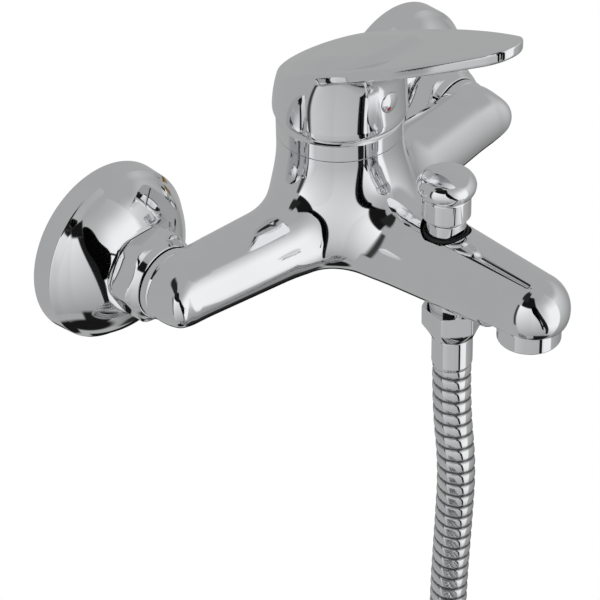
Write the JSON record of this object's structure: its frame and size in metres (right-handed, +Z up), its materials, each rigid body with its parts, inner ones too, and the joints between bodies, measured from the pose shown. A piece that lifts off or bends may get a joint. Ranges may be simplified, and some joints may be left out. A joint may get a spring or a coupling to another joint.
{
  "type": "wall-mounted bath and shower mixer tap",
  "caption": "Wall-mounted single-lever bath and shower mixer with a spout, a pull-up diverter and a coiled metal shower hose.",
  "frame": {"origin": "on the finished wall, midway between the two inlets, at the height of the inlet axes", "axes": "+X to the right along the wall for someone facing the tap, -Y out of the wall into the room, +Z up"},
  "size_m": [0.2501, 0.1737, 0.3916],
  "materials": {
    "polished_chrome": "polished chrome plate on brass or zinc",
    "brass_plain": "machined, unplated",
    "stainless": "stainless steel, bright",
    "hose_metal": "chromed strip-wound hose",
    "white_plastic": "moulded, matte",
    "grey_plastic": "moulded, matte",
    "ceramic": "lapped alumina ceramic",
    "black_rubber": "moulded nitrile rubber",
    "fibre_washer": "flat sealing washer"
  },
  "bodies": {
    "tap": {"wall_flange_left": "polished_chrome", "wall_flange_right": "polished_chrome", "offset_union_left": "brass_plain", "offset_union_right": "brass_plain", "union_nut_left": "polished_chrome", "union_nut_right": "polished_chrome", "union_washer_left": "fibre_washer", "union_washer_right": "fibre_washer", "inlet_tail_left": "polished_chrome", "inlet_tail_right": "polished_chrome", "body_casting": "polished_chrome", "cartridge_base": "white_plastic", "port_seals": "black_rubber", "fixed_disc": "ceramic", "cartridge_housing": "white_plastic", "cartridge_nut": "brass_plain", "dome_ring": "polished_chrome", "diverter_bonnet": "polished_chrome", "diverter_o_ring": "black_rubber", "diverter_spring": "stainless", "aerator_housing": "polished_chrome", "aerator_insert": "white_plastic", "aerator_washer": "black_rubber", "outlet_nipple": "polished_chrome", "hose_nut": "polished_chrome", "hose_washer": "black_rubber", "hose_ferrule": "polished_chrome", "shower_hose": "hose_metal", "shower_hose_coil": "hose_metal", "hose_tie": "black_rubber", "hose_end_ferrule": "polished_chrome", "hose_end_washer": "black_rubber"},
    "cartridge_turn_body": {"stem_carrier": "white_plastic", "stem_pin": "stainless"},
    "lever": {"cartridge_stem": "grey_plastic", "lever_handle": "polished_chrome", "lever_set_screw": "stainless", "index_plug": "polished_chrome"},
    "slider": {"moving_disc": "ceramic"},
    "diverter": {"diverter_knob": "polished_chrome", "diverter_spindle": "brass_plain", "diverter_seal": "black_rubber"},
    "hose_end": {"hose_end_nut": "polished_chrome"}
  },
  "joints": [
    {"name": "temperature_turn", "type": "hinge", "parent": "tap", "child": "cartridge_turn_body", "pos_m": [0, -0.044, 0.023], "axis": [0, 0, 1], "range_deg": [-50, 50]},
    {"name": "lever_lift", "type": "hinge", "parent": "cartridge_turn_body", "child": "lever", "pos_m": [0, -0.044, 0.023], "axis": [-1, 0, 0], "range_deg": [0, 25]},
    {"name": "disc_slide", "type": "slide", "parent": "cartridge_turn_body", "child": "slider", "axis": [0, -1, 0], "range_m": [0, 0.00235]},
    {"name": "diverter_pull", "type": "slide", "parent": "tap", "child": "diverter", "axis": [0, 0, 1], "range_m": [0, 0.007], "deforming": ["diverter_spring"]},
    {"name": "hose_nut_spin", "type": "hinge", "parent": "tap", "child": "hose_end", "pos_m": [0, -0.1431, -0.28], "axis": [0, 0, 1], "continuous": true}
  ],
  "couplings": [
    {"joint": "disc_slide", "follows": "lever_lift", "m_per_rad": 0.005134}
  ]
}
